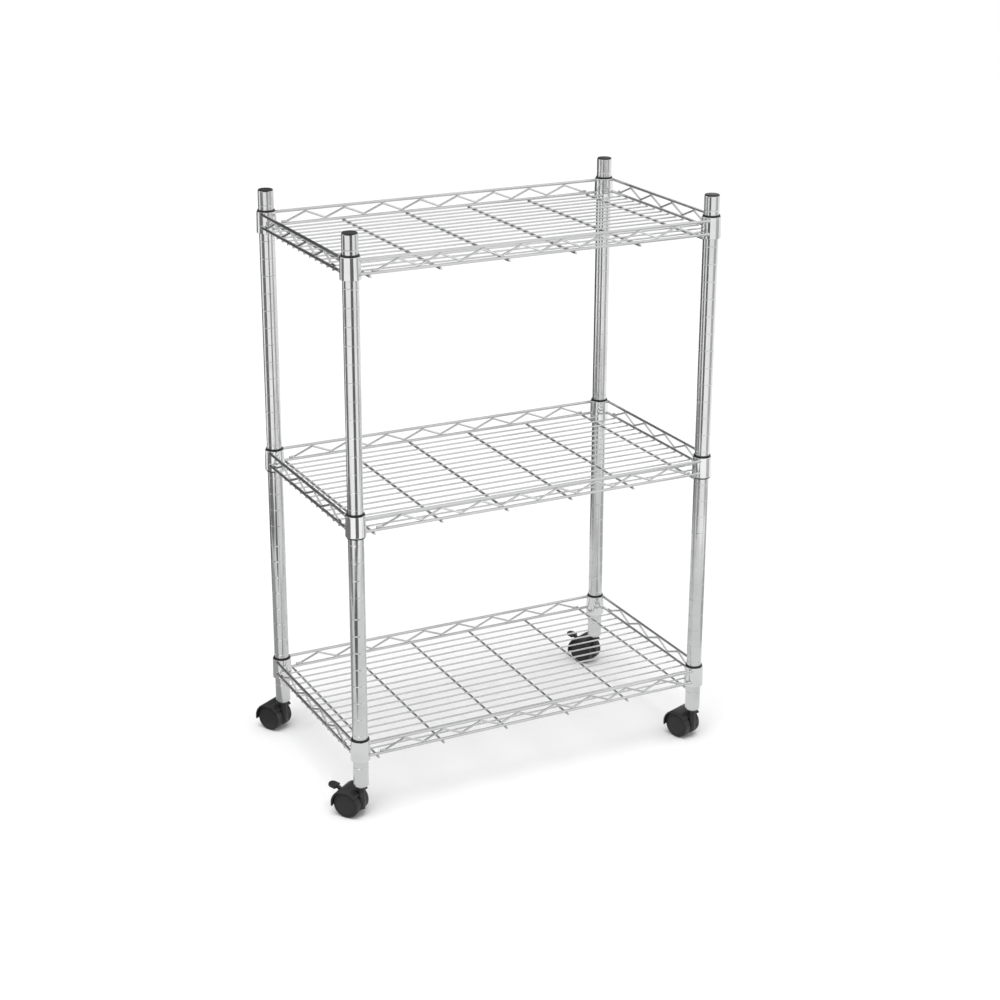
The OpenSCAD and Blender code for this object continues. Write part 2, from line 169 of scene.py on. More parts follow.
chromeSet = {
    "tube": {"tone": 0.70, "gloss": 0.09, "haze": 0.09, "stretch": (500.0, 500.0, 6.0)},
    "wire": {"tone": 0.64, "gloss": 0.09, "haze": 0.09, "stretch": (260.0, 260.0, 260.0)},
    "collar": {"tone": 0.78, "gloss": 0.03, "haze": 0.05, "stretch": (400.0, 400.0, 12.0)},
    "clean": (1.0, 1.005, 1.01),  # tints of the tone
    "dull": (0.9, 0.905, 0.91),
    "cloud": (14.0, 4.0),  # scale and detail of the noise
    "hazeFrom": 0.42,
    "hazeTo": 0.72,
    "lineRough": 0.05,
    "lineBump": 0.02,
    "lineDeep": 0.2 * mm,
    # painted shade: grey blended into the setting grooves and the joint between the tubes, with more
    # roughness there
    "grooveShade": (0.34, 0.34, 0.34),
    "grooveShadeShare": 0.18,
    "grooveShadeNear": 0.1 * mm,
    "grooveShadeFar": 0.7 * mm,
    "grooveShadeRough": 0.2,
}


def chromeFinish(name, look, firstGroove=None):
    finish, flow = startFinish(name)
    spot = flow.spot()
    lines = spot.streaks(look["stretch"])
    hazed = spot.noise(*chromeSet["cloud"]).step(chromeSet["hazeFrom"], chromeSet["hazeTo"])
    clean = [look["tone"] * tint for tint in chromeSet["clean"]]
    dull = [look["tone"] * tint for tint in chromeSet["dull"]]
    colour = hazed.blend(clean, dull)
    rough = look["gloss"] + hazed * look["haze"] + lines * chromeSet["lineRough"]
    if firstGroove:  # painted shade darkens the setting grooves and the joint between the tubes
        height = flow.add("ShaderNodeSeparateXYZ", None, {0: spot}, "Z")
        turn = (height - firstGroove) / grooveSet["pitch"] + 0.5
        off = abs(flow.maths("FRACT", turn) - 0.5) * grooveSet["pitch"]
        grooveShade = off.step(chromeSet["grooveShadeNear"], chromeSet["grooveShadeFar"], chromeSet["grooveShadeShare"], 0.0)
        colour = grooveShade.blend(colour, chromeSet["grooveShade"])
        rough = rough + grooveShade * chromeSet["grooveShadeRough"]
    bump = lines.bump(chromeSet["lineBump"], chromeSet["lineDeep"])
    endFinish(flow, flow.add(
        "ShaderNodeBsdfPrincipled",
        None,
        {"Base Color": colour, "Metallic": 1.0, "Roughness": rough, "Normal": bump},
    ))
    return finish


mouldedSet = {
    "clip": {
        "colour": (0.014, 0.014, 0.015),
        "worn": (0.03, 0.03, 0.03),
        "grain": (1400.0, 2.0),
        "bump": 0.2,
        "rough": 0.42,
        "scuff": 0.5,
    },
    "hood": {
        "colour": (0.020, 0.020, 0.021),
        "worn": (0.045, 0.045, 0.045),
        "grain": (1100.0, 2.0),
        "bump": 0.3,
        "rough": 0.40,
        "scuff": 0.6,
    },
    "cloud": (60.0, 4.0),
    "cloudRough": 0.22,
    "scuffFrom": 0.52,
    "scuffTo": 0.74,
    "scuffRough": 0.12,
    "grainDeep": 0.1 * mm,
    "shine": 0.3,
}


def mouldedFinish(name, look):
    finish, flow = startFinish(name)
    spot = flow.spot()
    cloud = spot.noise(*mouldedSet["cloud"])
    scuffed = cloud.step(mouldedSet["scuffFrom"], mouldedSet["scuffTo"]) * look["scuff"]
    colour = scuffed.blend(look["colour"], look["worn"])
    rough = look["rough"] + (cloud - 0.5) * mouldedSet["cloudRough"] + scuffed * mouldedSet["scuffRough"]
    bump = spot.noise(*look["grain"]).bump(look["bump"], mouldedSet["grainDeep"])
    endFinish(flow, flow.add(
        "ShaderNodeBsdfPrincipled",
        None,
        {
            "Base Color": colour,
            "Roughness": rough,
            "Normal": bump,
            "Specular IOR Level": mouldedSet["shine"],
        },
    ))
    return finish


wheelSet = {
    "face": (0.020, 0.020, 0.021),
    "tread": (0.026, 0.026, 0.026),
    "treadFrom": 0.93,  # shares of the radius
    "treadTo": 0.985,
    "treadRough": 0.2,
    "dust": (0.085, 0.083, 0.08),
    "dustFrom": 0.45,
    "dustTo": 0.7,
    "dustLeast": 0.1,
    "dustMost": 0.75,
    "cloud": (90.0, 4.0),
    "cloudRough": 0.16,
    "rough": 0.40,
    "grain": (1500.0, 2.0),
    "bump": 0.25,
    "grainDeep": 0.1 * mm,
    "shine": 0.25,
}


def wheelFinish(name):  # the face and the tread wear differently, by the share of the radius from the hub
    finish, flow = startFinish(name)
    spot = flow.spot()
    fromHub = flow.add("ShaderNodeAttribute", {"attribute_name": "fromHub"}, None, "Fac")
    cloud = spot.noise(*wheelSet["cloud"])
    tread = fromHub.step(wheelSet["treadFrom"], wheelSet["treadTo"])
    dust = tread * cloud.step(
        wheelSet["dustFrom"], wheelSet["dustTo"], wheelSet["dustLeast"], wheelSet["dustMost"]
    )
    colour = dust.blend(tread.blend(wheelSet["face"], wheelSet["tread"]), wheelSet["dust"])
    rough = wheelSet["rough"] + tread * wheelSet["treadRough"] + (cloud - 0.5) * wheelSet["cloudRough"]
    bump = spot.noise(*wheelSet["grain"]).bump(wheelSet["bump"], wheelSet["grainDeep"])
    endFinish(flow, flow.add(
        "ShaderNodeBsdfPrincipled",
        None,
        {
            "Base Color": colour,
            "Roughness": rough,
            "Normal": bump,
            "Specular IOR Level": wheelSet["shine"],
        },
    ))
    return finish


steelSet = {
    "bright": (0.46, 0.46, 0.47),
    "dull": (0.36, 0.36, 0.36),
    "stretch": (40.0, 40.0, 900.0),
    "rough": 0.28,
    "lineRough": 0.15,
}


def steelFinish(name):
    finish, flow = startFinish(name)
    lines = flow.spot().streaks(steelSet["stretch"])
    colour = lines.blend(steelSet["bright"], steelSet["dull"])
    rough = steelSet["rough"] + lines * steelSet["lineRough"]
    endFinish(flow, flow.add(
        "ShaderNodeBsdfPrincipled",
        None,
        {"Base Color": colour, "Metallic": 1.0, "Roughness": rough},
    ))
    return finish


lowerTubeChrome = chromeFinish("lower_tube_chrome", chromeSet["tube"], grooveSet["lowerFirst"])
upperTubeChrome = chromeFinish("upper_tube_chrome", chromeSet["tube"], grooveSet["upperFirst"])
wireChrome = chromeFinish("wire_chrome", chromeSet["wire"])
collarChrome = chromeFinish("collar_chrome", chromeSet["collar"])
clipBlack = mouldedFinish("clip_black", mouldedSet["clip"])
hoodBlack = mouldedFinish("hood_black", mouldedSet["hood"])
wheelBlack = wheelFinish("wheel_black")
plainSteel = steelFinish("plain_steel")
print("finishes made")


# mesh helpers
mergeGap = 0.0005 * mm


def turned(outline, axis, steps, start=0.0, sweep=360.0, closed=True):
    bm = bmesh.new()
    full = sweep >= 360.0
    begin = Matrix.Rotation(math.radians(start), 4, axis)
    verts = []
    for out, along in outline:  # from the axis and along it
        spot = Vector((along, out, 0)) if axis == "X" else Vector((out, 0, along))
        verts.append(bm.verts.new(begin @ spot))
    pairs = zip(verts, verts[1:] + verts[:1]) if closed else zip(verts, verts[1:])
    geom = verts + [bm.edges.new(pair) for pair in pairs]
    if not full:
        geom.append(bm.faces.new(verts))
    bmesh.ops.spin(
        bm,
        geom=geom,
        cent=(0, 0, 0),
        axis=(1, 0, 0) if axis == "X" else (0, 0, 1),
        angle=math.radians(sweep),
        steps=steps,
        use_merge=full,
    )
    bmesh.ops.remove_doubles(bm, verts=bm.verts, dist=mergeGap)
    bmesh.ops.recalc_face_normals(bm, faces=bm.faces)
    return bm


def rounded(bm, edges, offset, segments):
    bmesh.ops.bevel(
        bm,
        geom=edges,
        offset=offset,
        offset_type="OFFSET",
        segments=segments,
        profile=0.5,
        affect="EDGES",
        material=-1,
        clamp_overlap=True,
    )


def soften(bm, offset, segments=3, sharper=35.0, keep=None):
    edges = []
    for edge in bm.edges:
        if len(edge.link_faces) == 2 and edge.calc_face_angle(0.0) > math.radians(sharper):
            if keep is None or keep(edge):
                edges.append(edge)
    rounded(bm, edges, offset, segments)


def join(main, part, place=Matrix.Identity(4)):
    bmesh.ops.transform(part, matrix=place, verts=part.verts)
    held = bpy.data.meshes.new("held")
    part.to_mesh(held)
    main.from_mesh(held)
    bpy.data.meshes.remove(held)
    part.free()


def block(size, place=Matrix.Identity(4)):
    bm = bmesh.new()
    bmesh.ops.create_cube(bm, size=1.0, matrix=place @ Matrix.Diagonal((*size, 1.0)))
    return bm


def rod(radius, long, segments, place):
    bm = bmesh.new()
    bmesh.ops.create_cone(
        bm, cap_ends=True, segments=segments, radius1=radius, radius2=radius, depth=long, matrix=place
    )
    return bm


def piece(name, bm, finish, body, stoodFor=(), sharp=40.0):
    mesh = bpy.data.meshes.new(name)
    bm.to_mesh(mesh)
    bm.free()
    mesh.shade_smooth()
    mesh.set_sharp_from_angle(angle=math.radians(sharp))
    mesh.materials.append(finish)
    made = bpy.data.objects.new(name, mesh)
    scene.collection.objects.link(made)
    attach(made, body)
    if stoodFor:
        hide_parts(*stoodFor)


# the cart's own places, read from the frame
corners = {}
for where in places:
    low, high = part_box("post_lower_" + where)
    corners[where] = Vector(((low.x + high.x) / 2, (low.y + high.y) / 2, 0))
postRadius = (high.x - low.x) / 2
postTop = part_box("post_upper_front_left")[1].z


# finishes of the frame's own nodes
for name, node in frame["nodes"].items():
    if name.startswith("post_lower"):
        finish = lowerTubeChrome
    elif name.startswith("post_upper"):
        finish = upperTubeChrome
    elif name.startswith("shelf"):
        finish = collarChrome if name.endswith("collars") else wireChrome
    elif name.startswith(("sleeve_clips", "post_caps")):
        finish = clipBlack
    elif name.startswith(("hood", "brake_lever")):
        finish = hoodBlack
    elif name.startswith("wheel"):
        finish = wheelBlack
    else:
        finish = plainSteel
    node.data.materials.clear()
    node.data.materials.append(finish)
print("frame nodes painted")


# post tubes with rounded setting grooves
tubeSet = {
    "wall": 1.2 * mm,
    "chamfer": 0.5 * mm,
    "grooveWide": 1.6 * mm,
    "grooveDeep": 0.35 * mm,
    "grooveShape": ((-1, 0), (-0.6, 0.3), (-0.25, 0.9), (0.25, 0.9), (0.6, 0.3), (1, 0)),  # shares
    "endClear": 2.1 * mm,
    "plain": 8 * mm,
    "steps": 48,
    "sharp": 15.0,
}


def tubeMesh(low, high, first, plain):
    inner, edge = postRadius - tubeSet["wall"], tubeSet["chamfer"]
    outline = [(inner, low), (postRadius - edge, low), (postRadius, low + edge)]
    half, deep = tubeSet["grooveWide"] / 2, tubeSet["grooveDeep"]
    at = first
    while at < high - tubeSet["endClear"] - plain:
        for share, depth in tubeSet["grooveShape"]:
            outline.append((postRadius - deep * depth, at + half * share))
        at += grooveSet["pitch"]
    outline += [(postRadius, high - edge), (postRadius - edge, high), (inner, high)]
    return turned(outline, "Z", tubeSet["steps"])


for where in places:
    for part, finish, first, plain in (
        ("post_lower_", lowerTubeChrome, grooveSet["lowerFirst"], tubeSet["plain"]),
        ("post_upper_", upperTubeChrome, grooveSet["upperFirst"] + grooveSet["pitch"], 0.0),
    ):
        low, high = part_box(part + where)
        tube = tubeMesh(low.z, high.z, first, plain)
        bmesh.ops.translate(tube, verts=tube.verts, vec=corners[where])
        node = part + where
        piece("tube_" + node, tube, finish, "cart_frame", (node,), tubeSet["sharp"])
print("post tubes made")


# tapered collars with rolled lips
collarSet = {"wall": 1.2 * mm, "lip": 0.45 * mm, "taper": 0.0209, "loop": 1.0 * mm, "steps": 64}

for level in levels:
    node = "shelf_" + level + "_collars"
    low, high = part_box(node)
    wide = high.x - corners["front_right"].x
    narrow = wide - (high.z - low.z) * collarSet["taper"]
    wall, loop = collarSet["wall"], collarSet["loop"]
    rim = loop * collarSet["taper"]
    # a loop near each lip keeps the shading of the wall straight
    outline = [
        (wide - wall, low.z),
        (wide, low.z),
        (wide - rim, low.z + loop),
        (narrow + rim, high.z - loop),
        (narrow, high.z),
        (narrow - wall, high.z),
    ]
    main = bmesh.new()
    for where in places:
        part = turned(outline, "Z", collarSet["steps"])
        soften(part, collarSet["lip"])
        join(main, part, Matrix.Translation(corners[where]))
    piece("collars_" + level, main, collarChrome, "cart_frame", (node,))
print("collars made")


# split sleeve clips, two halves round each post
clipSet = {
    "clearance": 0.06 * mm,
    "topWall": 1.3 * mm,
    "bottomWall": 2.0 * mm,
    "split": 0.8 * mm,
    "edge": 0.35 * mm,
    "steps": 30,
    "drop": {"bottom": 0.0, "middle": 1.8 * mm, "top": 0.0},  # the middle clips hang below their collars
}

for level in levels:
    node = "sleeve_clips_" + level
    low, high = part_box(node)
    inner = postRadius + clipSet["clearance"]
    foot = low.z - clipSet["drop"][level]
    gap = math.degrees(math.asin(clipSet["split"] / 2 / inner))
    outline = [
        (inner, foot),
        (inner + clipSet["bottomWall"], foot),
        (inner + clipSet["topWall"], high.z),
        (inner, high.z),
    ]
    main = bmesh.new()
    for where in places:
        for half in (0.0, 180.0):
            part = turned(outline, "Z", clipSet["steps"], half + gap, 180.0 - 2 * gap)
            soften(part, clipSet["edge"])
            join(main, part, Matrix.Translation(corners[where]))
    piece("clips_" + level, main, clipBlack, "cart_frame", (node,))
print("clips made")


# plug caps on the posts
capSet = {
    "plug": 12 * mm,
    "plugStep": 1.26 * mm,
    "plugChamfer": 1 * mm,
    "height": 2.4 * mm,
    "step": 0.4 * mm,
    "footChamfer": 0.2 * mm,
    "side": 0.35,  # share of the height
    "shoulderWide": 1.3 * mm,
    "shoulderTall": 1.2 * mm,
    "shoulderTurns": range(15, 76, 15),
    "crown": ((0.6, 0.95), (0.3, 0.99), (0, 1)),  # shares of the radius and the height
    "steps": 48,
    "sharp": 50.0,
}

headRadius = postRadius - capSet["step"]
plugRadius = postRadius - capSet["plugStep"]
plug, chamfer, foot = capSet["plug"], capSet["plugChamfer"], capSet["footChamfer"]
tall, side = capSet["height"], capSet["height"] * capSet["side"]
outline = [
    (0, -plug),
    (plugRadius - chamfer, -plug),
    (plugRadius, chamfer - plug),
    (plugRadius, 0),
    (headRadius - foot, 0),
    (headRadius, foot),
    (headRadius, side),
]
for turn in capSet["shoulderTurns"]:
    a = math.radians(turn)
    outline.append((
        headRadius - capSet["shoulderWide"] * (1 - math.cos(a)), side + capSet["shoulderTall"] * math.sin(a)
    ))
outline += [(headRadius * out, tall * up) for out, up in capSet["crown"]]
main = bmesh.new()
for where in places:
    part = turned(outline, "Z", capSet["steps"], closed=False)
    join(main, part, Matrix.Translation(corners[where] + Vector((0, 0, postTop))))
piece("caps", main, clipBlack, "cart_frame", ("post_caps",), capSet["sharp"])
print("caps made")


# weld beads: flattened balls where wires cross, and upright ones where rails meet collars
weldSet = {
    "rail": 4.2 * mm,
    "collar": 14.0 * mm,
    "crossInset": 22 * mm,
    "crossCount": 6,
    "deckCount": 15,
    "deckClear": 16 * mm,
    "trussEnd": 33.5 * mm,
    "peaksLong": 8,
    "peaksShort": 4,
    "onCross": (2.0 * mm, 1.7 * mm, 0.8 * mm),
    "underRail": (2.2 * mm, 1.6 * mm, 0.8 * mm),
    "onTruss": (2.6 * mm, 1.5 * mm, 0.8 * mm),
    "railEnd": (1.2 * mm, 2.7 * mm, 2.7 * mm),
    "round": 8,
    "rows": 5,
    "sharp": 80.0,
}


def bead(bm, spot, size, short=False):  # short: on one of the cart's short sides
    wide = (size[1], size[0], size[2]) if short else size
    bmesh.ops.create_uvsphere(
        bm,
        u_segments=weldSet["round"],
        v_segments=weldSet["rows"],
        radius=1.0,
        matrix=Matrix.Translation(spot) @ Matrix.Diagonal((*wide, 1.0)),
    )


halfX = corners["front_right"].x
halfY = corners["back_left"].y
railRadius = weldSet["rail"] / 2
for level in levels:
    main = bmesh.new()
    topLow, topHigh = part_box("shelf_" + level + "_top_rails")
    lowerLow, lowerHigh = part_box("shelf_" + level + "_lower_rails")
    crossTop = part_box("shelf_" + level + "_cross_wires")[1].z
    sideX, longY = topHigh.x - railRadius, topHigh.y - railRadius
    crossStep = 2 * (halfX - weldSet["crossInset"]) / (weldSet["crossCount"] - 1)
    deckStep = 2 * longY / (weldSet["deckCount"] + 1)
    deckYs = [k * deckStep - longY for k in range(1, weldSet["deckCount"] + 1)]
    for i in range(weldSet["crossCount"]):
        x = weldSet["crossInset"] - halfX + i * crossStep
        for y in [-longY] + deckYs + [longY]:
            bead(main, (x, y, crossTop), weldSet["onCross"])
    for y in deckYs:
        if abs(y) < halfY - weldSet["deckClear"]:
            for side in (-1, 1):
                bead(main, (side * sideX, y, lowerHigh.z - 2 * railRadius), weldSet["underRail"])
    for span, peaks, across, top, lower, short in (  # the long sides' rails are the lower ones
        (2 * halfX, weldSet["peaksLong"], longY, topLow.z + railRadius, lowerLow.z + railRadius, False),
        (2 * halfY, weldSet["peaksShort"], sideX, topHigh.z - railRadius, lowerHigh.z - railRadius, True),
    ):
        step = (span - 2 * weldSet["trussEnd"]) / peaks / 2
        spots = []
        for k in range(2 * peaks + 1):
            along = weldSet["trussEnd"] - span / 2 + k * step
            spots.append((along, top - railRadius if k % 2 else lower + railRadius, weldSet["onTruss"]))
        fromPost = across - (halfX if short else halfY)
        reach = math.sqrt(weldSet["collar"] ** 2 - fromPost ** 2)
        for end in (reach - span / 2, span / 2 - reach):
            spots += [(end, top, weldSet["railEnd"]), (end, lower, weldSet["railEnd"])]
        for along, z, size in spots:
            for side in (-1, 1):
                spot = (side * across, along, z) if short else (along, side * across, z)
                bead(main, spot, size, short)
    piece("welds_" + level, main, wireChrome, "cart_frame", sharp=weldSet["sharp"])
print("weld beads made")


# casters, in a frame on the axle: X along it, Y back, Z up
casterSet = {
    "wheel": 20 * mm,
    "wheelWide": 11.5 * mm,
    "wheelGap": 11.5 * mm,
    "trail": 17 * mm,
    "boss": 7.5 * mm,
}

rimSet = {
    "edge": 2.0 * mm,
    "edgeTurns": range(0, 91, 15),
    "bore": 2.6 * mm,
    "recess": (0.55, 0.58, 0.80, 0.83),  # shares of the radius
    "recessDeep": 0.5 * mm,
    "lines": (0.36, 0.64),  # shares of the tread
    "lineHalf": 0.35 * mm,
    "lineDeep": 0.3 * mm,
    "ring": 0.80,  # share of the radius
    "ringTop": 1.0 * mm,
    "ringFloor": 0.6 * mm,
    "ringDeep": 0.55 * mm,
    "dome": 0.8 * mm,
    "domeShares": (0.85, 0.65, 0.45, 0.25, 0.1, 0),  # of the radius inside the ring
    "steps": 72,
    "sharp": 30.0,
}


def wheelMesh(side):
    radius, wide = casterSet["wheel"], casterSet["wheelWide"]
    edge, dome, ring = rimSet["edge"], rimSet["dome"], radius * rimSet["ring"]
    face, flat = wide - dome, wide - dome - edge
    turns = [math.radians(turn) for turn in rimSet["edgeTurns"]]
    outline = [(rimSet["bore"], 0)]
    for share, deep in zip(rimSet["recess"], (0, rimSet["recessDeep"], rimSet["recessDeep"], 0)):
        outline.append((radius * share, deep))
    for a in turns:
        outline.append((radius - edge + edge * math.sin(a), edge - edge * math.cos(a)))
    for share in rimSet["lines"]:  # fine lines round the tread
        at, half = edge + (flat - edge) * share, rimSet["lineHalf"]
        outline += [(radius, at - half), (radius - rimSet["lineDeep"], at), (radius, at + half)]
    for a in turns:
        outline.append((radius - edge + edge * math.cos(a), flat + edge * math.sin(a)))
    outline += [
        (ring + rimSet["ringTop"], face),
        (ring + rimSet["ringFloor"], face - rimSet["ringDeep"]),
        (ring - rimSet["ringFloor"], face - rimSet["ringDeep"]),
        (ring - rimSet["ringTop"], face),
    ]
    for share in rimSet["domeShares"]:
        outline.append(((ring - rimSet["ringTop"]) * share, wide - dome * share * share))
    bm = turned(outline, "X", rimSet["steps"], closed=False)
    bmesh.ops.translate(bm, verts=bm.verts, vec=(casterSet["wheelGap"] / 2, 0, 0))
    if side < 0:
        bmesh.ops.rotate(bm, verts=bm.verts, cent=(0, 0, 0), matrix=Matrix.Rotation(math.pi, 3, "Z"))
    fromHub = bm.verts.layers.float.new("fromHub")
    for vert in bm.verts:
        vert[fromHub] = math.hypot(vert.co.y, vert.co.z) / radius
    return bm


hoodSet = {
    "inner": 21.2 * mm,
    "outer": 23.2 * mm,
    "half": 19.35 * mm,
    "lip": 1.0 * mm,
    "lipWall": 1.5 * mm,
    "back": -12.0,  # degrees from the back upwards, as are those of the slot
    "front": 138.0,
    "steps": 50,
    "shoulder": 1.4 * mm,
    "edge": 0.25 * mm,
    "slotHalf": 2.6 * mm,
    "slotLow": 18.0,
    "slotHigh": 51.0,
    "web": 8.6 * mm,
    "webLap": 1.0 * mm,
    "webReach": 2 * mm,
    "webEdge": 0.3 * mm,
    "webSteps": 72,
    "cheeksFrom": 6.0 * mm,
    "column": 5.45 * mm,
    "columnLow": -8 * mm,
    "columnHigh": 27.1 * mm,
    "columnEdge": 0.6 * mm,
    "columnSteps": 48,
}


def plateMesh(low, high, near, far):  # a slice of the web's disc, from near to far along the axle
    bm = bmesh.new()
    bmesh.ops.create_circle(
        bm, cap_ends=True, segments=hoodSet["webSteps"], radius=hoodSet["inner"] + hoodSet["webLap"]
    )
    bmesh.ops.rotate(bm, verts=bm.verts, cent=(0, 0, 0), matrix=Matrix.Rotation(math.pi / 2, 3, "Y"))
    for spot, facing in (
        ((0, 0, -casterSet["boss"]), (0, 0, -1)),
        ((0, low, 0), (0, -1, 0)),
        ((0, high, 0), (0, 1, 0)),
    ):
        geom = bm.verts[:] + bm.edges[:] + bm.faces[:]
        bmesh.ops.bisect_plane(bm, geom=geom, plane_co=spot, plane_no=facing, clear_outer=True)
    grown = bmesh.ops.extrude_face_region(bm, geom=bm.faces[:])
    moved = [v for v in grown["geom"] if isinstance(v, bmesh.types.BMVert)]
    bmesh.ops.translate(bm, verts=moved, vec=(far - near, 0, 0))
    bmesh.ops.translate(bm, verts=bm.verts, vec=(near, 0, 0))
    bmesh.ops.recalc_face_normals(bm, faces=bm.faces)
    soften(bm, hoodSet["webEdge"], segments=2, sharper=50.0)
    return bm


def hoodMesh(braked):
    inner, high, half = hoodSet["inner"], hoodSet["outer"], hoodSet["half"]
    low, wall, slot = inner - hoodSet["lip"], hoodSet["lipWall"], hoodSet["slotHalf"]
    outline = [
        (low, -half), (high, -half), (high, -slot), (high, slot), (high, half), (low, half),
        (low, half - wall), (inner, half - wall), (inner, slot),
        (inner, -slot), (inner, wall - half), (low, wall - half),
    ]
    shell = turned(outline, "X", hoodSet["steps"], hoodSet["back"], hoodSet["front"] - hoodSet["back"])
    if braked:  # slot for the brake lever
        cut = []
        for face in shell.faces:
            spot = face.calc_center_median()
            angle = math.degrees(math.atan2(spot.z, spot.y))
            if abs(spot.x) < slot and hoodSet["slotLow"] < angle < hoodSet["slotHigh"]:
                cut.append(face)
        bmesh.ops.delete(shell, geom=cut, context="FACES")
        bmesh.ops.bridge_loops(shell, edges=[e for e in shell.edges if e.is_boundary])
        bmesh.ops.recalc_face_normals(shell, faces=shell.faces)

    def shoulder(edge):
        outside = all(math.hypot(v.co.y, v.co.z) > high - hair for v in edge.verts)
        return outside and all(abs(v.co.x) > half - hair for v in edge.verts)

    soften(shell, hoodSet["shoulder"], segments=4, keep=shoulder)
    soften(shell, hoodSet["edge"], segments=2, sharper=50.0)
    web, reach = hoodSet["web"] / 2, inner + hoodSet["webReach"]
    split = hoodSet["cheeksFrom"] if braked else reach
    join(shell, plateMesh(-reach, split, -web, web))
    if braked:  # two cheeks leave room for the lever
        join(shell, plateMesh(split, reach, -web, -slot))
        join(shell, plateMesh(split, reach, slot, web))
    tall = hoodSet["columnHigh"] - hoodSet["columnLow"]
    upright = Matrix.Translation((0, -casterSet["trail"], hoodSet["columnLow"] + tall / 2))
    column = rod(hoodSet["column"], tall, hoodSet["columnSteps"], upright)
    soften(column, hoodSet["columnEdge"], sharper=50.0)
    join(shell, column)
    return shell


pedalSet = {
    "pinBack": 11.5 * mm,
    "pinUp": 11.5 * mm,
    "boss": 4.0 * mm,
    "bossEdge": 0.4 * mm,
    "bossSteps": 32,
    "arm": 5.0 * mm,
    "armAngle": 30.0,
    "armLong": 15 * mm,
    "armWide": 4.6 * mm,
    "armEdge": 0.6 * mm,
    "start": 12 * mm,
    "angle": 12.0,
    "long": 14 * mm,
    "wide": 15 * mm,
    "thick": 3.6 * mm,
    "corner": 6.8 * mm,
    "edge": 0.8 * mm,
    "ribs": (0.42, 0.59, 0.76),  # shares of the plate's length
    "ribWide": 0.62,  # share of its width
    "ribLong": 1.1 * mm,
    "ribTall": 0.9 * mm,
    "ribEdge": 0.25 * mm,
}


def pedalMesh():
    armLong = pedalSet["armLong"]
    arm = block((pedalSet["armWide"], armLong, pedalSet["arm"]), Matrix.Translation((0, armLong / 2, 0)))
    soften(arm, pedalSet["armEdge"])
    lean = Matrix.Rotation(math.radians(pedalSet["armAngle"]), 3, "X")
    bmesh.ops.rotate(arm, verts=arm.verts, cent=(0, 0, 0), matrix=lean)
    long, wide, thick = pedalSet["long"], pedalSet["wide"], pedalSet["thick"]
    plate = block((wide, long, thick), Matrix.Translation((0, long / 2, 0)))
    far = []
    for edge in plate.edges:
        first, second = (v.co for v in edge.verts)
        if min(first.y, second.y) > long - hair and abs(first.x - second.x) < hair:
            far.append(edge)
    rounded(plate, far, pedalSet["corner"], segments=8)
    soften(plate, pedalSet["edge"], sharper=50.0)
    ribSize = (wide * pedalSet["ribWide"], pedalSet["ribLong"], pedalSet["ribTall"])
    for share in pedalSet["ribs"]:  # grip ribs
        rib = block(ribSize, Matrix.Translation((0, long * share, thick / 2)))
        soften(rib, pedalSet["ribEdge"], segments=2)
        join(plate, rib)
    start = lean @ Vector((0, pedalSet["start"], 0))
    join(arm, plate, Matrix.Translation(start) @ Matrix.Rotation(math.radians(pedalSet["angle"]), 4, "X"))
    across = Matrix.Rotation(math.pi / 2, 4, "Y")
    boss = rod(pedalSet["boss"], pedalSet["armWide"], pedalSet["bossSteps"], across)
    soften(boss, pedalSet["bossEdge"], segments=2, sharper=50.0)
    join(arm, boss)
    return arm


joints = {joint["name"]: joint for joint in frame["joints"]}
for where in places:
    roll = joints["roll_left_" + where]
    turn = math.atan2(roll["axis"][1], roll["axis"][0])
    axle = Matrix.Translation(roll["pos_m"]) @ Matrix.Rotation(turn, 4, "Z")
    braked = "brake_" + where in joints
    main = bmesh.new()
    join(main, hoodMesh(braked), axle)
    hood = "hood_" + where
    piece("caster_" + hood, main, hoodBlack, "caster_" + where, (hood,))
    for side, name in ((-1, "wheel_left_" + where), (1, "wheel_right_" + where)):
        wheel = wheelMesh(side)
        bmesh.ops.transform(wheel, matrix=axle, verts=wheel.verts)
        piece("caster_" + name, wheel, wheelBlack, name, (name,), rimSet["sharp"])
    if braked:
        pedal = bmesh.new()
        pin = axle @ Matrix.Translation((0, pedalSet["pinBack"], pedalSet["pinUp"]))
        join(pedal, pedalMesh(), pin)
        lever, body = "brake_lever_" + where, "brake_" + where
        piece("brake_pedal_" + where, pedal, hoodBlack, body, (lever,))
print("casters made")


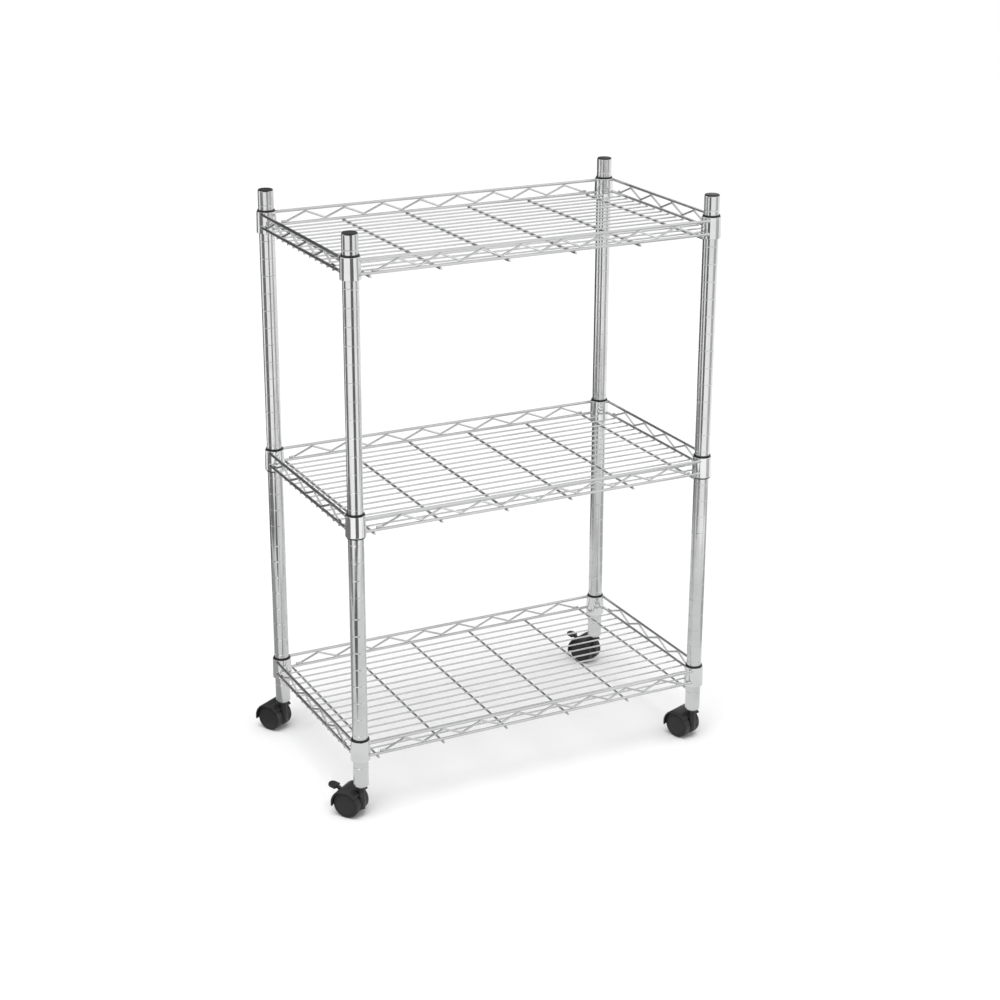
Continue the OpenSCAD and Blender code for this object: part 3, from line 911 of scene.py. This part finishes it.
# studio: white floor that keeps a faint shadow, soft lamps, and grey panels that only mirrors see
studioSet = {
    "floorHalf": 30.0,
    "floorTone": 0.9,
    "floorShade": 0.95,
    "skyFill": 0.55,
    "sun": {"aim": (12.0, -8.0, 0.0), "strength": 1.9, "soft": 40.0},
    "lampAim": (0, 0, 0.4),
    "lamps": (  # name, place, size, power
        ("keyLamp", (-1.9, -1.6, 2.6), 1.6, 14.0),
        ("fillLamp", (2.2, -1.4, 2.0), 1.6, 6.0),
    ),
    "panels": (  # name, place, size, facing, tone
        ("backPanel", (-0.1, 1.55, 0.85), (2.4, 1.7), (0.0, 1.0, 0.0), 0.10),
        ("backFloor", (-0.35, 1.1, 0.002), (1.3, 0.8), (0.0, 0.0, 1.0), 0.12),
        ("leftFloor", (-1.33, 0.25, 0.003), (0.59, 1.2), (0.0, 0.0, 1.0), 0.2),
        # the near floor panel is painted shadow: a pale grey sheet round the cart that mirrors show as the
        # shaded floor
        ("nearFloor", (-0.10, -0.10, 0.001), (1.9, 1.7), (0.0, 0.0, 1.0), 0.82),
        ("frontFloor", (-0.75, -0.715, 0.004), (0.4, 0.77), (0.0, 0.0, 1.0), 0.14),
        ("besideFloor", (-0.63, 0.375, 0.0025), (0.64, 0.65), (0.0, 0.0, 1.0), 0.38),
        ("rightFloor", (1.01, -0.15, 0.0015), (0.78, 0.7), (0.0, 0.0, 1.0), 0.5),
        ("leftCard", (-0.805, 0.12, 0.46), (0.48, 0.6), (0.989, 0.147, 0.0), 0.2),
        ("frontCard", (-0.277, -0.5105, 0.57), (0.333, 0.6), (0.79, 0.613, 0.0), 0.16),
        ("rightCard", (1.0, -0.8, 0.40), (0.8, 0.8), (-0.7, 0.7, 0.0), 0.55),
        ("overCard", (-0.5, -0.15, 1.6), (1.0, 0.7), (0.0, 0.0, -1.0), 0.12),
    ),
}


def grey(tone):
    return (tone, tone, tone, 1.0)


def seen(flow):  # 1 for rays that look at the backdrop, straight, in a mirror or through glass
    straight = flow.add("ShaderNodeLightPath", None, None, "Is Camera Ray")
    mirrored = flow.add("ShaderNodeLightPath", None, None, "Is Glossy Ray")
    through = flow.add("ShaderNodeLightPath", None, None, "Is Transmission Ray")
    return flow.maths("MAXIMUM", flow.maths("MAXIMUM", straight, mirrored), through)


def sheet(name, half, place, paint):
    bm = bmesh.new()
    bmesh.ops.create_grid(bm, x_segments=1, y_segments=1, size=half, matrix=place)
    mesh = bpy.data.meshes.new(name)
    bm.to_mesh(mesh)
    bm.free()
    mesh.materials.append(paint)
    made = bpy.data.objects.new(name, mesh)
    scene.collection.objects.link(made)
    return made


floorPaint, flow = startFinish("floor_paint")
plain = flow.add("ShaderNodeBsdfDiffuse", None, {"Color": grey(studioSet["floorTone"])})
white = flow.add("ShaderNodeEmission", None, {"Color": grey(1.0), "Strength": 1.0})
share = seen(flow) * (1 - studioSet["floorShade"])
endFinish(flow, flow.add("ShaderNodeMixShader", None, {0: share, 1: plain, 2: white}))
floor = sheet("floor", studioSet["floorHalf"], Matrix.Identity(4), floorPaint)

for name, place, size, facing, tone in studioSet["panels"]:
    paint, flow = startFinish(name + "_paint")
    endFinish(flow, flow.add("ShaderNodeEmission", None, {"Color": grey(tone), "Strength": 1.0}))
    aim = Vector(facing).normalized().to_track_quat("Z", "Y").to_matrix().to_4x4()
    stretch = Matrix.Diagonal((*size, 1.0, 1.0))
    panel = sheet(name, 0.5, Matrix.Translation(place) @ aim @ stretch, paint)  # a square of 1 m, stretched
    panel.visible_camera = False
    panel.visible_diffuse = False
    panel.visible_shadow = False

for name, place, size, power in studioSet["lamps"]:
    light = bpy.data.lights.new(name, "AREA")
    light.shape = "DISK"
    light.size = size
    light.energy = power
    lamp = bpy.data.objects.new(name, light)
    lamp.location = place
    lamp.rotation_euler = (Vector(studioSet["lampAim"]) - Vector(place)).to_track_quat("-Z", "Y").to_euler()
    scene.collection.objects.link(lamp)

sunLight = bpy.data.lights.new("sun", "SUN")
sunLight.energy = studioSet["sun"]["strength"]
sunLight.angle = math.radians(studioSet["sun"]["soft"])
sun = bpy.data.objects.new("sun", sunLight)
sun.rotation_euler = [math.radians(a) for a in studioSet["sun"]["aim"]]
sun.visible_glossy = False
scene.collection.objects.link(sun)

sky = bpy.data.worlds.new("studio")
sky.use_nodes = True
sky.node_tree.nodes.clear()
flow = Flow(sky.node_tree)
fill = flow.add("ShaderNodeBackground", None, {"Color": grey(1.0), "Strength": studioSet["skyFill"]})
white = flow.add("ShaderNodeBackground", None, {"Color": grey(1.0), "Strength": 1.0})
both = flow.add("ShaderNodeMixShader", None, {0: seen(flow), 1: fill, 2: white})
flow.add("ShaderNodeOutputWorld", None, {"Surface": both})
scene.world = sky
print("studio made")
